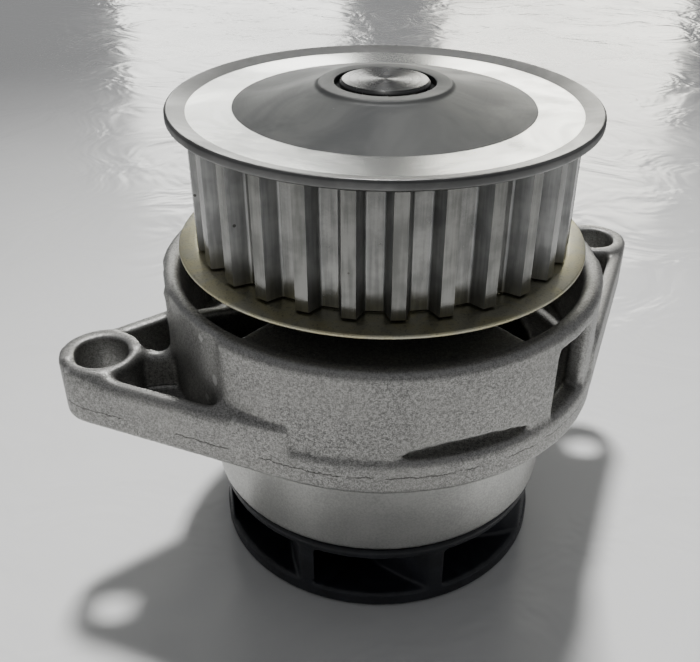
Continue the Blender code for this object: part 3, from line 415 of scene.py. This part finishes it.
def turnedMesh(name, corners, steps):
    path = roundedPath(corners)
    rings, around = len(path), np.arange(steps) * math.tau / steps
    radius = np.array([p[0] for p in path])[:, None] * mm
    height = np.array([p[1] for p in path])[:, None] * mm
    points = np.stack([radius * np.cos(around), radius * np.sin(around),
                       height + 0.0 * around], axis=2).reshape(-1, 3)
    faces = []
    for i in range(rings):
        j = (i + 1) % rings
        for k in range(steps):
            m = (k + 1) % steps
            faces.append((i * steps + k, j * steps + k, j * steps + m, i * steps + m))
    mesh = bpy.data.meshes.new(name)
    mesh.from_pydata(points.tolist(), [], faces)
    return tidyMesh(mesh)


def tidyMesh(mesh, sharpDegrees=38.0):
    build = bmesh.new()
    build.from_mesh(mesh)
    bmesh.ops.remove_doubles(build, verts=build.verts, dist=weldDistance)
    bmesh.ops.recalc_face_normals(build, faces=build.faces)
    build.to_mesh(mesh)
    build.free()
    mesh.shade_smooth()
    mesh.set_sharp_from_angle(angle=math.radians(sharpDegrees))
    return mesh


def prismMesh(name, outlines, low, high):
    build = bmesh.new()
    for outline in outlines:
        bottom = [build.verts.new((x * mm, y * mm, low * mm)) for x, y in outline]
        top = [build.verts.new((x * mm, y * mm, high * mm)) for x, y in outline]
        build.faces.new(list(reversed(bottom)))
        build.faces.new(top)
        for i in range(len(outline)):
            j = (i + 1) % len(outline)
            build.faces.new((bottom[i], bottom[j], top[j], top[i]))
    bmesh.ops.recalc_face_normals(build, faces=build.faces)
    mesh = bpy.data.meshes.new(name)
    build.to_mesh(mesh)
    build.free()
    return mesh


# the object's mesh with its modifiers applied; the object itself goes
def settled(item):
    graph = bpy.context.evaluated_depsgraph_get()
    made = bpy.data.meshes.new_from_object(item.evaluated_get(graph), depsgraph=graph)
    bpy.data.objects.remove(item, do_unlink=True)
    return made


def looseObject(name, mesh):
    item = bpy.data.objects.new(name, mesh)
    pumpCollection.objects.link(item)
    return item


def cutAway(mesh, cutterMesh):
    item, cutter = looseObject("blank", mesh), looseObject("cutter", cutterMesh)
    change = item.modifiers.new("cut", "BOOLEAN")
    change.object, change.operation, change.solver = cutter, "DIFFERENCE", "EXACT"
    made = settled(item)
    bpy.data.objects.remove(cutter, do_unlink=True)
    return made


weldDistance = 0.000002          # metres
wearStep = 0.5                   # how far a point goes to its neighbours' mean in one round
uprightWall = 0.93               # a normal this far outwards belongs to a turned wall


def neighbourMean(points, edges, degree):
    total = np.empty_like(points)
    for axis in range(3):
        total[:, axis] = np.bincount(edges[:, 0], points[edges[:, 1], axis], len(points))
        total[:, axis] += np.bincount(edges[:, 1], points[edges[:, 0], axis], len(points))
    return total / degree[:, None]


# a node's shape on an even grid, turned walls made truly round, then edges worn soft
def castSkin(nodeName, name, look):
    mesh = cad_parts[nodeName].data.copy()
    mesh.transform(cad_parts[nodeName].matrix_world)
    mesh.materials.clear()
    build = bmesh.new()
    build.from_mesh(mesh)
    bmesh.ops.remove_doubles(build, verts=build.verts, dist=weldDistance)
    build.to_mesh(mesh)
    build.free()
    item = looseObject("blank", mesh)
    grid = item.modifiers.new("grid", "REMESH")
    grid.mode, grid.voxel_size, grid.adaptivity = "VOXEL", look["voxel"] * mm, 0.0
    mesh = settled(item)
    mesh.name = name
    count = len(mesh.vertices)
    points = np.empty(count * 3)
    mesh.vertices.foreach_get("co", points)
    points = points.reshape(-1, 3) / mm
    normals = np.empty(count * 3)
    mesh.vertices.foreach_get("normal", normals)
    normals = normals.reshape(-1, 3)
    edges = np.empty(len(mesh.edges) * 2, dtype=np.int32)
    mesh.edges.foreach_get("vertices", edges)
    edges = edges.reshape(-1, 2)
    degree = np.bincount(edges.ravel(), minlength=count).astype(float)
    followWalls(points, normals, look["walls"])
    softness = np.ones(count)
    for low, high, widest, share in look["crisp"]:
        radius = np.hypot(points[:, 0], points[:, 1])
        softness[(points[:, 2] > low) & (points[:, 2] < high) & (radius < widest)] = share
    for turn in range(look["rounds"]):
        points += (neighbourMean(points, edges, degree) - points) * wearStep * softness[:, None]
    followWalls(points, normals, look["walls"])
    for low, high, narrowest, start, end, rounds in look["worn"]:
        turned = np.degrees(np.arctan2(points[:, 1], points[:, 0])) % 360.0
        radius = np.hypot(points[:, 0], points[:, 1])
        worn = (points[:, 2] > low) & (points[:, 2] < high) & (radius > narrowest)
        worn = (worn & (turned > start) & (turned < end)).astype(float)[:, None]
        for turn in range(rounds):
            points += (neighbourMean(points, edges, degree) - points) * wearStep * worn
    mesh.vertices.foreach_set("co", (points * mm).ravel())
    mesh.shade_smooth()
    mesh.update()
    return mesh


def followWalls(points, normals, walls):
    radius = np.hypot(points[:, 0], points[:, 1])
    outward = (normals[:, 0] * points[:, 0] + normals[:, 1] * points[:, 1]) / np.maximum(radius, 1e-6)
    for lowZ, lowR, highZ, highR, reach in walls:
        share = (points[:, 2] - lowZ) / (highZ - lowZ)
        target = lowR + (highR - lowR) * share
        pull = np.clip(2.0 - 2.0 * np.abs(radius - target) / reach, 0.0, 1.0)
        pull *= (share >= 0.0) & (share <= 1.0) & (np.abs(outward) > uprightWall)
        stretch = 1.0 + (target / np.maximum(radius, 1e-6) - 1.0) * pull
        points[:, 0] *= stretch
        points[:, 1] *= stretch


# housing: a sand-like die casting with a machined spigot below

housingLook = {"voxel": 0.42, "rounds": 9,
               # wall: low z, its radius, high z, its radius, how far a point may be from it
               "walls": ((16.9, 34.8, 37.6, 34.8, 0.16), (45.4, 42.3, 60.8, 42.3, 0.16),
                         (38.6, 43.0, 43.4, 43.0, 0.16), (44.0, 38.7, 60.8, 38.7, 0.16),
                         (25.0, 30.5, 42.4, 30.5, 0.16), (24.5, 21.97, 75.8, 19.02, 0.16)),
               # low z, high z, widest radius and how soft the edges in it are
               "crisp": ((0.0, 38.5, 35.6, 0.25), (37.5, 39.4, 80.0, 0.45)),
               # low z, high z, narrowest radius, from and to which angle, extra rounds
               "worn": ((46.5, 60.0, 39.5, 200.0, 236.0, 45),),
               "spigotR": 34.8, "faceZ": 38.0, "machinedSkin": 0.8, "faceMargin": 0.12}


def makeHousing():
    look = housingLook
    mesh = castSkin("housing", "housingCasting", look)
    addPiece("housingCasting", mesh, [castAluminium(), machinedAluminium()],
             "housing", ["housing"])
    count = len(mesh.polygons)
    centres, normals = np.empty(count * 3), np.empty(count * 3)
    mesh.polygons.foreach_get("center", centres)
    mesh.polygons.foreach_get("normal", normals)
    centres, normals = centres.reshape(-1, 3) / mm, normals.reshape(-1, 3)
    radius = np.hypot(centres[:, 0], centres[:, 1])
    low = centres[:, 2] < look["faceZ"] + look["faceMargin"]
    wall = low & (radius > look["spigotR"] - look["machinedSkin"])
    face = low & (normals[:, 2] < -0.85)
    mesh.polygons.foreach_set("material_index", (wall | face).astype(np.int32))
    mesh.update()
    print("housing:", count, "faces")


makeHousing()


# pulley: one turned and toothed piece, dished on top

pulleyLook = {"teeth": 28, "phase": 4.6, "tipR": 34.96, "depth": 3.1, "crown": 2.2, "rootLand": 3.05,
              "rootRound": 0.55, "crownRound": 0.28, "cutPast": 0.9, "rimEdge": 1.7, "rimCone": 1.4,
              "rimRound": 0.5, "rimSlope": 0.35, "faceStep": 0.84, "faceOuterR": 34.7,
              "faceInnerR": 26.8, "faceRound": 0.5, "bossR": 11.6, "bossRise": 2.95, "bossDrop": 0.55,
              "bossFillet": 0.7, "bossRound": 0.8, "domeRound": 1.8, "mouthR": 8.98,
              "mouthDepth": 1.2, "mouthRound": 0.15, "boreR": 8.26, "boreRound": 0.3, "hubR": 12.5,
              "hubBottom": 79.0, "hubRound": 0.5, "web": 3.9, "webRound": 2.0, "hubFillet": 1.2,
              "wall": 3.9, "wallRound": 0.4, "seatStep": 0.6, "spigot": 2.2, "stepsPerTooth": 12,
              "sharpFrom": 32.0}


def toothGaps(look, low, high):
    pitch = 360.0 / look["teeth"]
    tipR, past = look["tipR"], look["cutPast"]
    rootR, half = tipR - look["depth"], look["rootLand"] / 2
    mouth = (math.tau * tipR / look["teeth"] - look["crown"]) / 2
    corners = [(rootR, -half, look["rootRound"]), (tipR, -mouth, look["crownRound"]),
               (tipR + past, -mouth - past, 0.0), (tipR + past, mouth + past, 0.0),
               (tipR, mouth, look["crownRound"]), (rootR, half, look["rootRound"])]
    outline = roundedPath(corners)
    outlines = []
    for i in range(look["teeth"]):
        ux, uy = polar(1.0, -90.0 + pitch * (i + 0.5) + look["phase"])
        outlines.append([(ux * x - uy * y, uy * x + ux * y) for x, y in outline])
    return prismMesh("toothGaps", outlines, low, high)


# each face's material by its place: above the teeth by radius, below by how it faces; rim and dome are
# shaded copies of the turned face, and crown, flank and root land are lit and shaded copies of the tooth
# steel, all painted light and shade
def chooseFinishAndShade(mesh, look, rootR, gapTop):
    ring, crown, flank, rim, dome, root = range(6)
    margin = 0.2
    for face in mesh.polygons:
        centre = face.center / mm
        outward = Vector((centre.x, centre.y, 0.0)).normalized()
        away = outward.dot(centre)
        sideways = face.normal.dot(outward) < uprightWall and abs(face.normal.z) < 0.5
        if centre.z > gapTop + 0.05:
            face.material_index = rim if away > look["faceOuterR"] else ring
            if away < look["faceInnerR"]:
                face.material_index = dome
        elif rootR - margin < away < look["tipR"] and sideways:
            face.material_index = flank
        else:
            face.material_index = root if away < rootR + margin else crown


def makePulley():
    look = pulleyLook
    low, high = boxOf("pulley")
    rimR, bossTop = high.x, high.z
    rimTop = bossTop - look["bossRise"]
    teethLow = low.z + look["spigot"]
    under = rimTop - look["rimEdge"]
    gapTop = under - look["rimCone"]
    faceZ = rimTop - look["faceStep"]
    domeZ = bossTop - look["bossDrop"]
    rootR = look["tipR"] - look["depth"]
    seatR, innerR = rootR - look["seatStep"], rootR - look["wall"]
    mouthLow = bossTop - look["mouthDepth"]
    boreR, mouthR, hubR, faceRound = look["boreR"], look["mouthR"], look["hubR"], look["faceRound"]
    corners = [
        (boreR, mouthLow - (mouthR - boreR), 0.0), (mouthR, mouthLow, 0.0),
        (mouthR, bossTop, look["mouthRound"]), (look["bossR"], bossTop, look["bossRound"]),
        (look["bossR"] + look["bossFillet"], domeZ, look["domeRound"]),
        (look["faceInnerR"], faceZ, faceRound), (look["faceOuterR"], faceZ, faceRound),
        (rimR - look["rimSlope"], rimTop, look["rimRound"]),
        (rimR, rimTop - look["rimSlope"], look["rimRound"]), (rimR, under, look["rimRound"]),
        (look["tipR"], gapTop, 0.25), (look["tipR"], teethLow, 0.2), (seatR, teethLow, 0.0),
        (seatR, low.z, 0.3), (innerR, low.z, look["wallRound"]),
        (innerR, faceZ - look["web"], look["webRound"]), (hubR, domeZ - look["web"], look["hubFillet"]),
        (hubR, look["hubBottom"], look["hubRound"]), (boreR, look["hubBottom"], look["boreRound"])]
    steps = look["teeth"] * look["stepsPerTooth"]
    blank = turnedMesh("pulleyBlank", corners, steps)
    mesh = tidyMesh(cutAway(blank, toothGaps(look, teethLow - 0.5, gapTop)), look["sharpFrom"])
    mesh.name = "toothedPulley"
    # the turned face and the tooth steel, with copies in painted light and shade for the rim, dome, flanks
    # and root lands
    finishesAndShades = [turnedFace("turnedFace", faceLook), toothSteel("toothSteel", toothLook),
                toothSteel("toothFlank", flankLook), turnedFace("turnedRim", rimLook),
                turnedFace("turnedDome", domeLook), toothSteel("toothRoot", rootLook)]
    addPiece("toothedPulley", mesh, finishesAndShades, "rotor", ["pulley"])
    chooseFinishAndShade(mesh, look, rootR, gapTop)
    print("pulley:", len(mesh.polygons), "faces")


makePulley()


# lower flange: a thin plated disc, slightly dished

discLook = {"flatR": 35.3, "boreR": 31.56, "thickness": 0.8, "drop": 0.4, "edge": 0.28, "steps": 288}


def makeDisc():
    look = discLook
    low, high = boxOf("pulley_lower_flange")
    top, outer, edge = high.z, high.x, look["edge"]
    corners = [(look["boreR"], top, 0.1), (look["flatR"], top, 2.0), (outer, top - look["drop"], edge),
               (outer, low.z, edge), (look["flatR"], top - look["thickness"], 2.0),
               (look["boreR"], top - look["thickness"], 0.1)]
    mesh = turnedMesh("lowerFlangeDisc", corners, look["steps"])
    addPiece("lowerFlangeDisc", mesh, yellowZinc(), "rotor", ["pulley_lower_flange"])
    print("lower flange disc:", len(mesh.polygons), "faces")


makeDisc()


# shaft: ground, with turned ends

shaftLook = {"chamfer": 0.45, "grooveR": 3.08, "grooveCentreR": 9.98, "grooveZ": 66.9, "dimpleR": 1.6,
             "dimpleDepth": 0.9, "dimpleRound": 0.1, "groovePoints": 13, "edgeRound": 0.12,
             "steps": 192}


def makeShaft():
    look = shaftLook
    low, high = boxOf("shaft")
    outer, chamfer = high.x, look["chamfer"]
    half = math.degrees(math.acos((look["grooveCentreR"] - outer) / look["grooveR"]))
    groove = []
    for i in range(look["groovePoints"]):
        across, up = polar(look["grooveR"], half - half * i * 2 / (look["groovePoints"] - 1))
        groove.append((look["grooveCentreR"] - across, look["grooveZ"] + up, 0.0))
    edge = look["edgeRound"]
    corners = [(0.0, high.z, 0.0), (outer - chamfer, high.z, edge), (outer, high.z - chamfer, edge)]
    corners += groove
    corners += [(outer, low.z + chamfer, edge), (outer - chamfer, low.z, edge),
                (look["dimpleR"], low.z, look["dimpleRound"]), (0.0, low.z + look["dimpleDepth"], 0.0)]
    mesh = turnedMesh("bearingShaft", corners, look["steps"])
    addPiece("bearingShaft", mesh, groundSteel(), "rotor", ["shaft"])
    print("shaft:", len(mesh.polygons), "faces")


makeShaft()


# impeller: a closed black moulding

impellerLook = {"voxel": 0.38, "rounds": 4,
                "walls": ((0.5, 34.0, 3.2, 34.0, 0.2), (13.2, 34.0, 14.7, 34.0, 0.2),
                          (0.7, 20.0, 3.2, 20.0, 0.2)),
                "crisp": (), "worn": ()}


def makeImpeller():
    mesh = castSkin("impeller", "closedImpeller", impellerLook)
    addPiece("closedImpeller", mesh, blackPlastic(), "rotor", ["impeller"])
    print("impeller:", len(mesh.polygons), "faces")


makeImpeller()


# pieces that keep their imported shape

innerPieces = {
    "bearing_outer_ring": "bearingSteel", "bearing_seal_upper": "sealRubber",
    "bearing_seal_lower": "sealRubber", "seal_cup": "stainless", "seal_seat_ring": "seatCeramic",
    "seal_seat_collar": "sealRubber", "impeller_insert": "brass", "ball_cage": "cageNylon",
    "roller_cage": "cageNylon", "seal_carbon_ring": "sealCarbon", "seal_spring_carrier": "stainless",
    "seal_bellows": "sealRubber", "seal_spring": "stainless"}


def dressInnerPieces():
    made = {}
    for nodeName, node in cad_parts.items():
        if nodeName in ("housing", "pulley", "pulley_lower_flange", "shaft", "impeller"):
            continue
        finish = innerPieces.get(nodeName, "bearingSteel")        # balls and rollers
        if finish not in made:
            made[finish] = innerFinish(finish)
        node.data.materials.clear()
        node.data.materials.append(made[finish])
    print("inner pieces:", len(made), "finishesAndShades")


dressInnerPieces()


# floor, light and camera

# floorNear fading into the far colour between fadeFrom and fadeTo metres is a painted fall-off of light
# across the floor
studioLook = {"floorNear": (0.62, 0.625, 0.625), "floorFarShade": (0.12, 0.122, 0.124), "floorHalf": 4.0,
              "fadeFrom": 0.05, "fadeTo": 0.46, "ripplesPerMetre": 26.0, "rippleDepth": 0.0026,
              "sky": (0.25, 0.252, 0.258), "skyFront": (0.22, 0.222, 0.228), "skyStrength": 1.0}


def glossyFloor():
    material, tree, shader, where = startFinish("paleFloor", 0.3, 0.0)
    cloud = speckle(tree, where, 7.0, 3.0, 0.6)
    ripple = speckle(tree, where, studioLook["ripplesPerMetre"], 3.0, 0.6, 1.0)
    distance, _, _ = radiusAndHeight(tree, where)
    # the floor is painted darker with distance from the pump: a painted pool of light round it, fading
    # into painted shade far off
    uneven = mathNode(tree, "MULTIPLY_ADD", cloud, 0.05, distance)
    far = spread(tree, uneven, studioLook["fadeFrom"], studioLook["fadeTo"], 0.0, 1.0)
    colour = blendColour(tree, far, studioLook["floorNear"], studioLook["floorFarShade"])
    tree.links.new(colour, shader.inputs["Base Color"])
    tree.links.new(spread(tree, cloud, 0.3, 0.7, 0.22, 0.14), shader.inputs["Roughness"])
    setBump(tree, shader, ripple, studioLook["rippleDepth"], 0.4)
    return material


def makeFloor():
    half, height = studioLook["floorHalf"], cadBox[0].z
    corners = [(-half, -half, height), (half, -half, height), (half, half, height), (-half, half, height)]
    mesh = bpy.data.meshes.new("floor")
    mesh.from_pydata(corners, [], [(0, 1, 2, 3)])
    floor = bpy.data.objects.new("floor", mesh)
    pumpCollection.objects.link(floor)
    mesh.materials.append(glossyFloor())


makeFloor()

# degrees to the right of straight back, degrees up, then distance, width and height in metres,
# watts and colour; the key lights surfaces without a mirror image, the glint is only its mirror image
lamps = {
    "key": (-2.5, 68.0, 2.3, 0.25, 0.25, 100.0, (1.0, 0.99, 0.975)),
    "glint": (-2.5, 68.0, 2.3, 0.10, 0.10, 30.0, (1.0, 0.99, 0.975)),
    "windowLeft": (-10.0, 13.0, 3.0, 0.75, 0.75, 13.0, (1.0, 1.0, 0.95)),
    "windowRight": (11.5, 14.0, 3.0, 0.8, 0.85, 17.0, (1.0, 0.98, 0.89)),
}


def makeLamps():
    aim = Vector((0.0, 0.0, 0.05))
    for name, (side, up, distance, width, height, watts, colour) in lamps.items():
        sideways, rise = math.radians(side), math.radians(up)
        way = Vector((math.sin(sideways) * math.cos(rise), math.cos(sideways) * math.cos(rise),
                      math.sin(rise)))
        light = bpy.data.lights.new(name, "AREA")
        light.shape, light.size, light.size_y = "RECTANGLE", width, height
        light.energy, light.color = watts, colour
        lamp = bpy.data.objects.new(name, light)
        lamp.location = aim + way * distance
        lamp.rotation_mode = "QUATERNION"
        lamp.rotation_quaternion = (-way).to_track_quat("-Z", "Y")
        lamp.visible_glossy, lamp.visible_diffuse = name != "key", name != "glint"
        pumpCollection.objects.link(lamp)


def makeSky():
    world = bpy.data.worlds.new("studioSky")
    bpy.context.scene.world = world
    world.use_nodes = True
    tree = world.node_tree
    way = addNode(tree, "ShaderNodeTexCoord").outputs["Generated"]
    parts = addNode(tree, "ShaderNodeSeparateXYZ", {0: way})
    back = spread(tree, parts.outputs[1], -0.6, 0.8, 0.0, 1.0)
    colour = blendColour(tree, back, studioLook["skyFront"], studioLook["sky"])
    background = tree.nodes["Background"]
    tree.links.new(colour, background.inputs["Color"])
    background.inputs["Strength"].default_value = studioLook["skyStrength"]


makeLamps()
makeSky()

# camera: distance in front, height above the shaft's foot, tilts in radians, framing
cameraLook = {"lens": 44.37, "sensor": 36.0, "shiftX": -0.0315, "shiftY": 0.0166, "back": 151.1,
              "high": 137.3, "pitch": 0.568, "yaw": -0.011, "roll": 0.014}


def makeCamera():
    look = cameraLook
    pitch, yaw, roll = look["pitch"], look["yaw"], look["roll"]
    ahead = Vector((math.sin(yaw) * math.cos(pitch), math.cos(yaw) * math.cos(pitch), -math.sin(pitch)))
    level = Vector((math.cos(yaw), -math.sin(yaw), 0.0))
    over = level.cross(ahead)
    right = level * math.cos(roll) + over * math.sin(roll)
    up = over * math.cos(roll) - level * math.sin(roll)
    lens = bpy.data.cameras.new("camera")
    lens.lens, lens.sensor_width = look["lens"], look["sensor"]
    lens.shift_x, lens.shift_y, lens.clip_start = look["shiftX"], look["shiftY"], 0.01
    camera = bpy.data.objects.new("camera", lens)
    place = Matrix((right, up, -ahead)).transposed().to_4x4()
    place.translation = Vector((0.0, -look["back"], look["high"])) * mm
    camera.matrix_world = place
    pumpCollection.objects.link(camera)
    bpy.context.scene.camera = camera


makeCamera()
